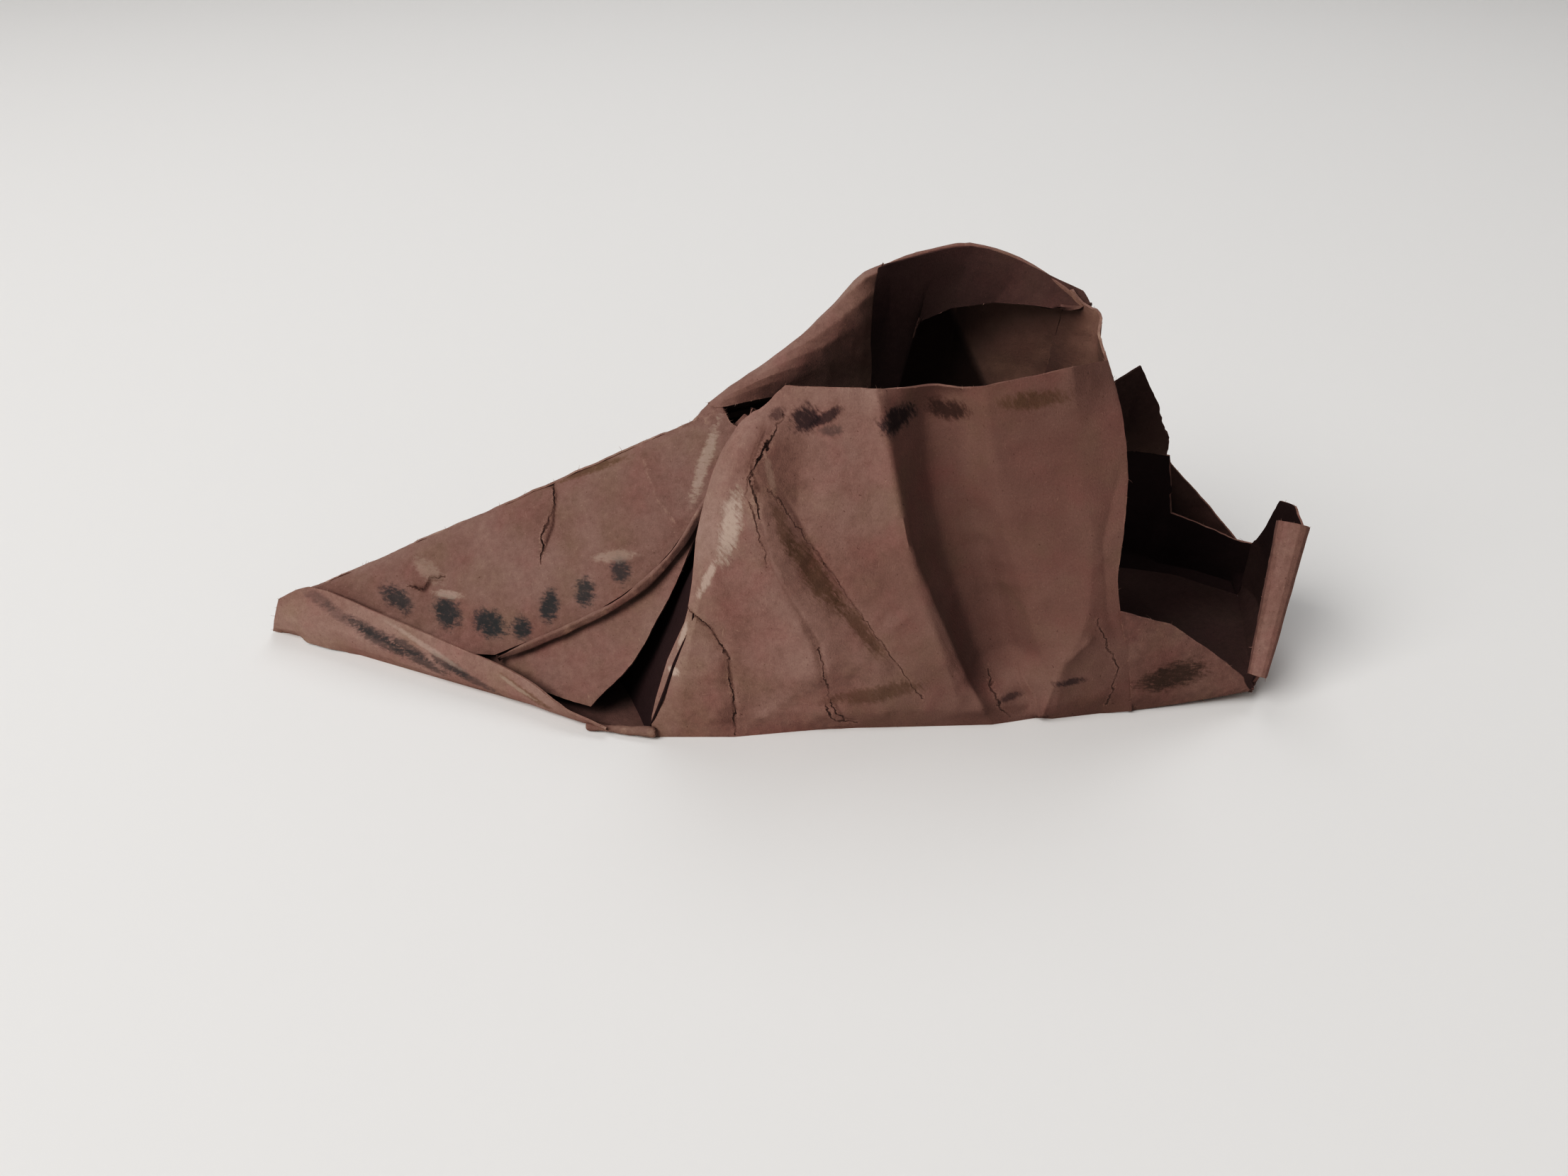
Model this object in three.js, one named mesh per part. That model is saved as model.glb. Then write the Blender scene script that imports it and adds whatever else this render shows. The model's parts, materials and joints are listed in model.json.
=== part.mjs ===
// A paper bag puppet: a hand sleeve, a closed beak and a scoop-shaped tail, all folded from heavy brown paper.
// The beak points to -X, the tail to +X, and the face that the puppeteer shows points to -Y. +Z is up.
// Every panel between two creases is its own thin sheet, and the loose flaps turn about their creases.
import * as THREE from "three";

// Driving dimensions, in millimetres.
const beakLength = 85; // beak tip to neck crease
const bodyLength = 80; // neck crease to the sleeve's right-hand side
const tailLength = 42; // sleeve's right-hand side to the end of the tail
const bodyDepth = 66; // front crease to back crease, over the sleeve
const hoodHeight = 79; // table to the top of the hood
const paper = 0.45; // thickness of the sheet
const clearance = 0.3; // free space between two layers, and at a crease
const hemThickness = 1.3; // the beak flap's turned-under edge
const hemWidth = 2;
const rimThickness = 1.3; // the hood's folded rim
const rimWidth = 2.4;
const rollRadius = 2.9; // the curled end of the tail, at its top
const rollRadiusLow = 1.5;
const paperColour = "#6b4a41";

// The creases are drawn on a form of this size, and place() fits the drawing to the driving dimensions.
const drawn = { tipX: -105.5, beak: 85, body: 80, tail: 42, depth: 66, height: 79 };
const drawnStations = [drawn.tipX, drawn.tipX + drawn.beak];
drawnStations.push(drawnStations[1] + drawn.body);
drawnStations.push(drawnStations[2] + drawn.tail);
const stations = [0, beakLength, beakLength + bodyLength, beakLength + bodyLength + tailLength];

function along(x) {
  const region = x < drawnStations[1] ? 0 : x < drawnStations[2] ? 1 : 2;
  const share = (x - drawnStations[region]) / (drawnStations[region + 1] - drawnStations[region]);
  return stations[region] + share * (stations[region + 1] - stations[region]);
}

const place = (x, y, z) =>
  new THREE.Vector3(along(x), (y * bodyDepth) / drawn.depth, (z * hoodHeight) / drawn.height);

const curveThrough = (points) =>
  points.length > 2 ? new THREE.CatmullRomCurve3(points, false, "centripetal") : new THREE.LineCurve3(...points);

const polyline = (curve, steps) => Array.from({ length: steps + 1 }, (_, i) => curve.getPointAt(i / steps));

// Rows of points over the panel: each column is a curve from its lower to its upper edge, and neighbouring
// columns are joined by flat facets, or by one smooth surface when the paper is bent and not creased.
function loft(columns, across, up, smooth) {
  const tall = columns.map((column) => polyline(curveThrough(column.map((p) => place(...p))), up));
  return Array.from({ length: up + 1 }, (_, j) => {
    const knots = tall.map((column) => column[j]);
    const row = smooth && knots.length > 2 ? new THREE.CatmullRomCurve3(knots, false, "centripetal") : null;
    const spans = knots.length - 1;
    return Array.from({ length: spans * across + 1 }, (_, i) => {
      const place = i / across;
      const span = Math.min(Math.floor(place), spans - 1);
      return row ? row.getPoint(i / (spans * across)) : knots[span].clone().lerp(knots[span + 1], place - span);
    });
  });
}

// Draws the end of a line of points back from the neighbouring panel.
function drawBack(line, distance) {
  const step = line[0].distanceTo(line[1]);
  line[0].lerp(line[1], Math.min(distance / step, 0.8));
}

function trim(grid, { left = 0, right = 0, low = 0, high = 0 }) {
  const wide = grid[0].length - 1;
  const columnOf = (i) => grid.map((row) => row[i]);
  for (const row of grid) {
    drawBack([row[0], row[1]], left);
    drawBack([row[wide], row[wide - 1]], right);
  }
  for (let i = 0; i <= wide; i++) {
    drawBack(columnOf(i), low);
    drawBack(columnOf(i).reverse(), high);
  }
  return grid;
}

function normalsOf(grid) {
  const last = grid.length - 1;
  const wide = grid[0].length - 1;
  return grid.map((row, j) =>
    row.map((_, i) => {
      const acrossStep = row[Math.min(i + 1, wide)].clone().sub(row[Math.max(i - 1, 0)]);
      const upStep = grid[Math.min(j + 1, last)][i].clone().sub(grid[Math.max(j - 1, 0)][i]);
      return acrossStep.cross(upStep).normalize();
    }),
  );
}

function offsetGrid(grid, distanceAt) {
  const normals = normalsOf(grid);
  return grid.map((row, j) =>
    row.map((p, i) => p.clone().addScaledVector(normals[j][i], distanceAt(i / (row.length - 1), j / (grid.length - 1)))),
  );
}

// A closed sheet of the given thickness about a grid of points.
function sheetGeometry(grid, thickness) {
  const wide = grid[0].length;
  const face = offsetGrid(grid, () => thickness / 2).flat();
  const reverse = offsetGrid(grid, () => -thickness / 2).flat();
  const count = face.length;
  const index = [];
  for (let j = 0; j + 1 < grid.length; j++)
    for (let i = 0; i + 1 < wide; i++) {
      const [a, b, c, d] = [j * wide + i, j * wide + i + 1, (j + 1) * wide + i + 1, (j + 1) * wide + i];
      index.push(a, b, c, a, c, d, count + a, count + c, count + b, count + a, count + d, count + c);
    }
  const rim = [];
  for (let i = 0; i < wide - 1; i++) rim.push(i);
  for (let j = 0; j < grid.length - 1; j++) rim.push(j * wide + wide - 1);
  for (let i = wide - 1; i > 0; i--) rim.push((grid.length - 1) * wide + i);
  for (let j = grid.length - 1; j > 0; j--) rim.push(j * wide);
  rim.forEach((p, k) => {
    const q = rim[(k + 1) % rim.length];
    index.push(q, p, count + p, q, count + p, count + q);
  });
  const geometry = new THREE.BufferGeometry().setFromPoints([...face, ...reverse]).setIndex(index);
  geometry.computeVertexNormals();
  return geometry;
}

const puppet = new THREE.Group();
const paperMaterial = new THREE.MeshStandardMaterial({ color: paperColour, roughness: 0.95, metalness: 0 });

function addMesh(name, geometry) {
  const mesh = new THREE.Mesh(geometry, paperMaterial.clone());
  mesh.name = name;
  puppet.add(mesh);
}

// One panel of paper. layer moves it off the drawn surface, towards its face; bulge bows its middle that way.
function panel(name, columns, { across = 3, up = 8, smooth = false, bulge = 0, layer = 0, ...edges } = {}) {
  const bowed = offsetGrid(
    loft(columns, across, up, smooth),
    (u, v) => layer + bulge * Math.sin(Math.PI * u) * Math.sin(Math.PI * v),
  );
  addMesh(name, sheetGeometry(trim(bowed, edges), paper));
}

// A folded edge: a rounded bar that follows the edge of a sheet.
function foldedEdge(name, points, width, thickness, steps) {
  const radius = thickness / 2;
  const straight = (width - thickness) / 2;
  const section = new THREE.Shape();
  section.absarc(0, straight, radius, 0, Math.PI, false);
  section.absarc(0, -straight, radius, Math.PI, 2 * Math.PI, false);
  const path = new THREE.CatmullRomCurve3(points.map((p) => place(...p)), false, "centripetal");
  addMesh(name, new THREE.ExtrudeGeometry(section, { steps, extrudePath: path, curveSegments: 4 }));
}

const creaseInset = paper / 2 + clearance; // a panel stops this far short of a square crease
const sharpInset = paper + clearance; // this far short of a sharp one
const floorInset = 2 * paper + clearance; // and a floor this far inside the walls that stand round it

// ---- Beak -------------------------------------------------------------------------------------------------
const tipTop = [-102, 2, 8];
const neck = [-20.5, 5, 45.5];
const hemTop = [-5.4, 3.5, 50.2];
const frontCorner = [-25, -32, 0];
const ridgeAt = (x) => tipTop.map((low, k) => low + ((x - tipTop[0]) / (neck[0] - tipTop[0])) * (neck[k] - low));
const onFloor = (x, y, z = 0) => [x, y, z];

const flapLower = [
  [-96, 0.7, 9.2],
  [-79.5, -6.4, 8.3],
  [-64, -13, 7.6],
  [-55, -16.8, 7.2],
];
const hemLine = [
  [-55, -16.8, 7.2],
  [-41, -16.2, 13.8],
  [-30, -15, 19.6],
  [-20.5, -11.5, 27.3],
  [-13.9, -6, 36.1],
  [-8.5, -1.8, 42.9],
  hemTop,
];
panel(
  "beak_outer_flap",
  [
    [flapLower[0], ridgeAt(-97)],
    [flapLower[1], ridgeAt(-84)],
    [flapLower[2], ridgeAt(-71)],
    [hemLine[0], ridgeAt(-61)],
    [hemLine[1], ridgeAt(-51)],
    [hemLine[2], ridgeAt(-41)],
    [hemLine[3], ridgeAt(-31)],
    [hemLine[4], neck],
    [[-9.3, -1.4, 43.2], [-14.5, 5.2, 48]],
    [[-8, 0.5, 45.4], [-11, 5.2, 49.4]],
  ],
  { across: 3, up: 8, bulge: 0.8, high: sharpInset, low: hemWidth / 2 + clearance, right: creaseInset },
);
foldedEdge("beak_flap_hem", hemLine, hemWidth, hemThickness, 22);
panel(
  "beak_inner_flap",
  [
    [[-58, -17.4, 5.3], ridgeAt(-62)],
    [[-47, -22, 4.3], ridgeAt(-52)],
    [[-36.4, -27, 3.6], ridgeAt(-42)],
    [[-28.4, -22.5, 11], ridgeAt(-33)],
    [[-21.1, -15.5, 22.5], ridgeAt(-26)],
    [[-14, -5.5, 36.2], [-17, 3, 42]],
    [[-5.5, 2.5, 48.2], [-8, 3.6, 48.8]],
  ],
  { across: 3, up: 8, layer: -(hemThickness + clearance), high: 4 },
);
panel(
  "jaw_fold",
  [
    [onFloor(-105.5, 2, 0.3), [-103.8, 0.6, 4], [-102, 1, 9]],
    [onFloor(-97, -2.2, 0.3), [-96.5, -2.2, 6], [-95.3, 0.6, 12]],
    [onFloor(-80, -9.3, 0.3), [-79.8, -9.8, 5.5], [-79.2, -7.8, 11.4]],
    [onFloor(-65, -15.6, 0.3), [-64.8, -16.2, 4.5], [-64.1, -14.6, 9.2]],
    [onFloor(-50, -21.9, 0.3), [-49.6, -22.6, 3.5], [-49.1, -21.9, 7]],
    [onFloor(-41, -25.6, 0.3), [-40.6, -26.8, 2], [-40.2, -27.7, 3.8]],
    [onFloor(-33, -29, 0.3), [-32.9, -29.9, 1.1], [-32.8, -30.7, 2]],
  ],
  { across: 3, up: 5, smooth: true, low: clearance },
);
panel(
  "beak_back_panel",
  [
    [onFloor(-104.5, 3.6), [-102, 3, 8]],
    [onFloor(-85, 9), ridgeAt(-84)],
    [onFloor(-60, 15.5), ridgeAt(-60)],
    [onFloor(-40, 20.5), ridgeAt(-40)],
    [onFloor(-20.5, 25), neck],
  ],
  { across: 4, up: 8, smooth: true, bulge: -1, high: sharpInset, low: sharpInset, right: creaseInset },
);
panel(
  "beak_floor",
  [
    [[-103, 1.6, 0.25], [-103, 3, 0.25]],
    [[-85, -7.2, 0.25], [-85, 9, 0.25]],
    [[-60, -17.7, 0.25], [-60, 15.5, 0.25]],
    [[-40, -26, 0.25], [-40, 20.5, 0.25]],
    [[-25, -32, 0.25], [-20.5, 25, 0.25]],
  ],
  { across: 2, up: 4, low: floorInset, high: floorInset, right: creaseInset },
);

// ---- Sleeve -----------------------------------------------------------------------------------------------
const foot = [
  [-25, -32],
  [-9.2, -32],
  [8.4, -29.6],
  [26, -29],
  [38.9, -28.5],
  [47.7, -26.5],
  [50.4, -26.8],
  [64.6, -24.4],
];
const heel = [
  [-20.5, 25],
  [-8, 28.4],
  [6, 31],
  [21, 32.2],
  [33, 32.4],
  [42, 31.6],
  [50, 30.3],
  [61, 28.5],
];
const frontEdgeLeft = [
  [-24.8, -31.8, 0.3],
  [-21.4, -29, 13.3],
  [-16.6, -26, 24.3],
  [-15, -22.5, 37],
  [-10.5, -18, 51],
  [-5.6, -16, 57.7],
];
const frontEdgeRight = [
  [64.6, -24.4, 0.3],
  [62.4, -24.8, 11.5],
  [58.6, -25, 24],
  [59.1, -20, 38.9],
  [58.8, -17.5, 48.6],
  [56.6, -12, 59.4],
  [54.6, -9, 64.6],
];
panel(
  "body_front_panel",
  [
    frontEdgeLeft,
    [onFloor(...foot[1], 0.3), [-9.9, -29.5, 13.5], [-12.1, -27, 21.1], [-11.8, -25, 33.3], [-7.9, -19.5, 51.1], [0.2, -14, 62.4]],
    [onFloor(...foot[2], 0.3), [7.5, -29, 13.1], [1.8, -26, 23.5], [-3.8, -22.5, 40.4], [-3.1, -19, 52.2], [4, -14.5, 62.4]],
    [onFloor(...foot[3], 0.3), [23.9, -28.5, 7], [13.2, -25, 21.2], [5.5, -22.5, 33.2], [2, -19.5, 46], [10, -15, 62.6]],
    [onFloor(...foot[4], 0.3), [30.6, -27.5, 13.6], [24.3, -25, 25.9], [19.3, -20.5, 44.9], [16.5, -16.5, 57.6], [16.4, -15, 62.4]],
    [onFloor(...foot[5], 0.3), [41, -22.5, 13], [38, -19.5, 22], [32.3, -15.5, 42], [30.9, -13, 54.5], [30.4, -12.5, 60.6]],
    [onFloor(...foot[6], 0.3), [50.7, -26, 14], [53.6, -25.5, 21.6], [53.6, -21, 36.6], [49.9, -14.5, 55.3], [47.5, -13.5, 65.5]],
    frontEdgeRight,
  ],
  { across: 3, up: 16, low: clearance },
);
panel(
  "body_side_gusset",
  [
    [[-40, -4, 1], [-28, -1, 14], [-12, 0, 30]],
    [[-31, -17, 1], [-21.5, -12, 17], [-12.5, -9.5, 34]],
    frontEdgeLeft.map(([x, y, z]) => [x + 0.2, y + 0.9, z + 0.2]),
  ],
  { across: 4, up: 8, smooth: true, right: creaseInset, low: sharpInset },
);
const backCrease = [neck, [-2, 12, 46], [16.5, 18.5, 46], [33, 23.5, 46], [50, 17, 46], [61, 19, 38]];
panel(
  "body_back_panel",
  [
    [onFloor(...heel[0]), [-20.5, 16, 24], backCrease[0]],
    [onFloor(...heel[1]), [-6, 21, 24], backCrease[1]],
    [onFloor(...heel[2]), [10, 25.4, 24], backCrease[2]],
    [onFloor(...heel[4]), [33, 28.6, 24], backCrease[3]],
    [onFloor(...heel[6], 0.3), [50, 24.5, 24], backCrease[4]],
    [onFloor(...heel[7], 0.5), [61.5, 24.5, 20], backCrease[5]],
  ],
  { across: 3, up: 10, smooth: true, low: sharpInset, high: creaseInset, left: creaseInset, right: creaseInset },
);
panel(
  "body_floor",
  foot.map((front, i) => [onFloor(...front, 0.25), onFloor(...heel[i], 0.25)]),
  { across: 1, up: 4, low: floorInset, high: floorInset, left: creaseInset, right: creaseInset },
);

// ---- Hood -------------------------------------------------------------------------------------------------
panel(
  "hood_shoulder",
  [
    [[-15, 7, 47], [-14.5, 8.3, 48.2], [-13.5, 6.6, 49.4], [-13, 5.6, 48.9]],
    [[-4, 12, 47.5], [-4, 10.5, 53], [-3.4, 8, 57.4], [-3.2, 5.2, 55.5], [-3, 5.4, 51.5]],
    [[6, 14.5, 47.5], [6, 12.6, 57], [6.4, 9.4, 65.4], [6.8, 6.4, 62.5], [6.8, 8, 51]],
    [[16.5, 16, 47.5], [16.5, 13.6, 62], [16.6, 11, 73.2], [16.6, 9.2, 71], [16.4, 11.6, 50.5]],
  ],
  { across: 5, up: 14, smooth: true, right: clearance },
);
const rimLine = [
  [17.4, 11, 72.8],
  [24, 11.3, 75.6],
  [33, 11.4, 77.2],
  [41.5, 9.6, 75.2],
  [50, 4.8, 71.2],
];
const below = ([x, y, z], back, drop) => [x, y + back, z - drop];
panel(
  "hood_back_panel",
  [
    [[17, 18.6, 46.5], [17, 16.5, 60], below(rimLine[0], 1.4, 0.6)],
    [[26, 22, 46.5], [26, 21, 60], below(rimLine[1], 1.4, 0.6)],
    [[33, 23.4, 46.5], [33, 22, 60], below(rimLine[2], 1.4, 0.6)],
    [[41.5, 19.6, 46.5], [41.5, 16.5, 60], below(rimLine[3], 1.4, 0.6)],
    [[50, 16.8, 46.5], [50, 11, 60], below(rimLine[4], 1.4, 0.6)],
  ],
  { across: 4, up: 10, high: creaseInset, low: clearance },
);
foldedEdge("hood_rim", rimLine, rimWidth, rimThickness, 18);
panel(
  "hood_cuff",
  [
    [[17, 12.2, 50.4], below(rimLine[0], -0.8, 1)],
    [[21.8, 12.5, 50.4], [23, 10.5, 74]],
    [[24.6, 12, 63.4], [26.5, 10.4, 75]],
    [[30.5, 11, 66.6], below(rimLine[2], -0.8, 1.2)],
    [[38, 9.4, 68.2], below(rimLine[3], -0.9, 1.2)],
    [[44.5, 6, 69], [46, 6.2, 72]],
    [[49.4, 3, 69], [50, 3.6, 70]],
  ],
  { across: 3, up: 6, high: creaseInset },
);
panel(
  "hood_cheek",
  [
    [[50.8, 16.4, 46.5], [50.9, 10.6, 60], [51, 5, 70.8]],
    [[56, 10, 46.5], [55, 5, 60], [54.8, 0.4, 69.4]],
    [[59.4, 0, 46.5], [57, -2, 58], [54, -3.6, 67.2]],
    [[60, -13, 46.5], [57.8, -10, 57], [54.6, -7, 65.2]],
  ],
  { across: 4, up: 8, smooth: true, low: clearance },
);

// ---- Tail -------------------------------------------------------------------------------------------------
panel(
  "tail_apron",
  [
    [[65, -24.2, 0.3], [62.8, -24.6, 11.5], [59.2, -24.8, 24]],
    [[74, -23.3, 1], [70, -22.5, 19.4]],
    [[82, -22.3, 2], [77.6, -21.6, 13.6]],
    [[87.4, -21.7, 2.7], [84.4, -21.2, 8]],
    [[89.4, -21.4, 3], [88, -21.2, 4.6]],
  ],
  { across: 2, up: 6, left: creaseInset, low: clearance },
);
panel(
  "tail_floor",
  [
    [[65, -24.2, 0.3], [61.5, 28, 0.6]],
    [[75, -23, 1.2], [74, 25.5, 1.4]],
    [[83, -22, 2.1], [84, 21.5, 2.2]],
    [[90, -21, 3], [96.6, 11.4, 3]],
  ],
  { across: 2, up: 6, left: creaseInset, right: sharpInset, low: sharpInset, high: floorInset },
);
panel(
  "tail_rear_wall",
  [
    [[62.4, 28, 0.8], [63, 22.5, 20], [64, 17.5, 33.6]],
    [[71, 26.2, 1.2], [71, 21, 18], [71, 18.3, 33.8]],
    [[79, 24, 1.7], [79, 19.5, 16], [77.9, 17.2, 33.2]],
    [[82, 22.8, 1.9], [81.5, 19, 12], [80.6, 17, 20]],
    [[88, 20, 2.4], [87.8, 17, 10], [87.7, 15.3, 17.6]],
    [[93.6, 16, 2.8], [93.4, 14, 9], [93.4, 13.3, 15.6]],
    [[97, 12, 3], [97, 11.6, 9], [96.8, 11.3, 15.8]],
  ],
  { across: 2, up: 8, low: creaseInset, high: clearance, left: clearance },
);
panel(
  "ear_tab",
  [
    [[62.4, 16.6, 34.4], [62.6, 12, 51.2]],
    [[67.6, 17.8, 34.5], [67.8, 14, 53.8]],
    [[72, 18, 34.4], [72.2, 15.8, 46.4]],
    [[77.4, 17.3, 34], [76.9, 16.8, 36.4]],
  ],
  { across: 3, up: 6 },
);
const endEdge = [
  [90.2, -20.2, 5.8],
  [97.2, -5.6, 29.4],
];
panel(
  "tail_end_wall",
  [
    [[91, -19.4, 3.2], [91.3, -18, 7.4]],
    [[92.6, -15.5, 3.2], [94.2, -11.6, 18.4]],
    [[94.4, -9, 3.2], [97, -5.2, 28.4]],
    [[96, -2.5, 3.2], [98, 0.4, 30.8]],
    [[97.2, 4.5, 3.2], [97.4, 5.6, 29]],
    [[97.4, 10.4, 3.2], [97, 9.8, 18]],
  ],
  { across: 2, up: 8, right: clearance, low: clearance },
);

// The curl turns about the wall's front edge, from its outer side round to the inside of the scoop.
const [curlLow, curlHigh] = endEdge.map((end) => place(...end));
const curlAxis = curlHigh.clone().sub(curlLow).normalize();
const curlSide = new THREE.Vector3(1, 0, 0).projectOnPlane(curlAxis).normalize();
const curlFront = new THREE.Vector3().crossVectors(curlSide, curlAxis);
const curlSteps = 8;
const curlColumns = Array.from({ length: curlSteps + 1 }, (_, k) => {
  const angle = ((200 - 225 * (k / curlSteps)) * Math.PI) / 180;
  return [0, 1].map((end) => {
    const radius = end ? rollRadius : rollRadiusLow;
    const centre = (end ? curlHigh : curlLow)
      .clone()
      .addScaledVector(curlSide, -radius)
      .addScaledVector(curlFront, radius + clearance);
    return centre
      .addScaledVector(curlSide, radius * Math.cos(angle))
      .addScaledVector(curlFront, radius * Math.sin(angle));
  });
});
const curlGrid = Array.from({ length: 9 }, (_, j) => curlColumns.map(([low, high]) => low.clone().lerp(high, j / 8)));
addMesh("tail_end_roll", sheetGeometry(curlGrid, paper));

panel(
  "tail_outer_gusset",
  [
    [[65, 31, 4], [65, 26.5, 43]],
    [[72, 29.8, 4], [72, 25, 36.4]],
    [[81, 26.8, 4], [81, 22.4, 27.8]],
    [[90, 22.4, 4.4], [90, 19.4, 18.8]],
    [[95.6, 18.4, 5.4], [96, 16.6, 12.6]],
  ],
  { across: 2, up: 6 },
);

// The puppet's origin is under the middle of its box, on the table.
const box = new THREE.Box3().setFromObject(puppet);
const middle = box.getCenter(new THREE.Vector3());
puppet.position.set(-middle.x, -middle.y, -box.min.z);

export default puppet;
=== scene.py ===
"""Paper bag puppet, folded from one sheet of heavy brown paper and lying on a pale table."""

import json
import math

import bmesh
import bpy
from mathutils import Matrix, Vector, kdtree, noise
from mathutils.bvhtree import BVHTree


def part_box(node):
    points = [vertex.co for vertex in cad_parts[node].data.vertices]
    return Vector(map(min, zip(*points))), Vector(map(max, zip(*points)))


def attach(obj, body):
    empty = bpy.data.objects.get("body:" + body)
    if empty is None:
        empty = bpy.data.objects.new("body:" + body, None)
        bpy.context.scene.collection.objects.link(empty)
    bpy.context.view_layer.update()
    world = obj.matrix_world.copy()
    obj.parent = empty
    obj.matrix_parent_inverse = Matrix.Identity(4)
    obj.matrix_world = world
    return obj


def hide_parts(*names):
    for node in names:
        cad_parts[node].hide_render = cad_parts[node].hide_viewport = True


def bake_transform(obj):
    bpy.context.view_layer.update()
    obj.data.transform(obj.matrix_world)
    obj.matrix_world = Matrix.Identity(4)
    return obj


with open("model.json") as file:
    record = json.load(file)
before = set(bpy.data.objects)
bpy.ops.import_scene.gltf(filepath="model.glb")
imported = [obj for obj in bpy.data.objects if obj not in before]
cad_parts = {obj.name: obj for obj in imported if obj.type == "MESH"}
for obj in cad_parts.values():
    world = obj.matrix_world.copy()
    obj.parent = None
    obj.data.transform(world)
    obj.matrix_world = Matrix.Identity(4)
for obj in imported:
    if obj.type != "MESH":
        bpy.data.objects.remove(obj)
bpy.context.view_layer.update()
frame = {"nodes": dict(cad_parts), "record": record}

MM = 0.001
PAPER = 0.45 * MM  # how thick the paper is
SIDE_VIEW = (0, 2)  # marks, cracks and folds are drawn along X and Z
SUBDIVISIONS = 3
SMOOTH_BELOW = math.radians(42)
body_of = {node: body for body, nodes in frame["record"]["behaviour"]["bodies"].items() for node in nodes}


def smooth(share):
    share = min(max(share, 0.0), 1.0)
    return share * share * (3 - 2 * share)


def spot(node, *shares):
    """A place on a panel in side view, in millimetres, from shares of its box."""
    low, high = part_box(node)
    placed = zip(SIDE_VIEW, shares)
    return tuple((low[axis] + share * (high[axis] - low[axis])) / MM for axis, share in placed)


def on(node, *places):
    """A line over a panel, from shares of its box."""
    return [spot(node, *place) for place in places]


# ---- Shader maths -----------------------------------------------------------------------------------------


class Wire:
    """A shader socket that takes part in arithmetic."""

    def __init__(self, shop, socket):
        self.shop, self.socket = shop, socket

    def calc(self, operation, *others):
        return self.shop.node("ShaderNodeMath", {"operation": operation}, (self, *others))

    def __add__(self, other):
        return self.calc("ADD", other)

    def __sub__(self, other):
        return self.calc("SUBTRACT", other)

    def __rsub__(self, other):
        return self.shop.node("ShaderNodeMath", {"operation": "SUBTRACT"}, (other, self))

    def __mul__(self, other):
        return self.calc("MULTIPLY", other)

    def __truediv__(self, other):
        return self.calc("DIVIDE", other)

    def rise(self, low, high):
        """0 below low and 1 above high, or the other way round where low is the larger."""
        settings = {"interpolation_type": "SMOOTHSTEP", "clamp": True}
        return self.shop.node("ShaderNodeMapRange", settings, (self, low, high, 0.0, 1.0))


class Shop:
    """Builds one material."""

    def __init__(self, name):
        self.material = bpy.data.materials.new(name)
        self.material.use_nodes = True
        self.tree = self.material.node_tree
        self.surface = self.tree.nodes["Principled BSDF"]

    def node(self, kind, settings, sockets, out=0):
        made = self.tree.nodes.new(kind)
        for name, value in settings.items():
            setattr(made, name, value)
        for key, value in (enumerate(sockets) if isinstance(sockets, tuple) else sockets.items()):
            if isinstance(value, Wire):
                self.tree.links.new(value.socket, made.inputs[key])
            elif value is not None:
                made.inputs[key].default_value = value
        return Wire(self, made.outputs[out])

    def set(self, socket, value):
        if isinstance(value, Wire):
            self.tree.links.new(value.socket, self.surface.inputs[socket])
        else:
            self.surface.inputs[socket].default_value = value

    def place(self):
        """Object coordinates in millimetres."""
        here = self.node("ShaderNodeTexCoord", {}, {}, "Object")
        return self.node("ShaderNodeVectorMath", {"operation": "SCALE"}, {0: here, "Scale": 1 / MM})

    def side_view(self, where):
        """The two coordinates of SIDE_VIEW."""
        along, up = SIDE_VIEW
        parts = self.node("ShaderNodeSeparateXYZ", {}, (where,), along)
        return parts, Wire(self, parts.socket.node.outputs[up])

    def attribute(self, name):
        return self.node("ShaderNodeAttribute", {"attribute_name": name}, {}, "Fac")

    def speckle(self, where, per_mm, detail=3.0, roughness=0.55, warp=0.0):
        sockets = {"Vector": where, "Scale": per_mm, "Detail": detail}
        sockets |= {"Roughness": roughness, "Distortion": warp}
        return self.node("ShaderNodeTexNoise", {}, sockets, "Fac")

    def shifted(self, where, offset, turn=(0, 0, 0), stretch=(1, 1, 1)):
        """Moves a pattern, turns it and draws it out along its own axes."""
        sockets = {"Vector": where, "Location": offset, "Rotation": turn, "Scale": stretch}
        return self.node("ShaderNodeMapping", {"vector_type": "TEXTURE"}, sockets)

    def blend(self, share, low, high):
        settings = {"data_type": "RGBA", "clamp_factor": True}
        return self.node("ShaderNodeMix", settings, {0: share, 6: low, 7: high}, 2)


def paint(red, green, blue):
    return (red, green, blue, 1.0)


WARM, DUSKY = paint(0.236, 0.158, 0.137), paint(0.192, 0.121, 0.104)
RUSSET, DRAB = paint(0.222, 0.122, 0.11), paint(0.192, 0.141, 0.105)
# the dark purple on the next line is painted shade, mixed into insides that lie in shadow
BARE_FIBRE, SHADOW_PLUM = paint(0.44, 0.3, 0.24), paint(0.024, 0.011, 0.014)
FLECK, DIRT_AND_SHADE, TORN = paint(0.06, 0.03, 0.025), paint(0.042, 0.022, 0.019), paint(0.028, 0.015, 0.013)
TEAL, INK, OLIVE, CHALK = (0.033, 0.041, 0.044), (0.03, 0.02, 0.024), (0.07, 0.045, 0.018), (0.47, 0.36, 0.3)
RUST, UMBER = (0.05, 0.026, 0.02), (0.045, 0.03, 0.02)


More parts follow.
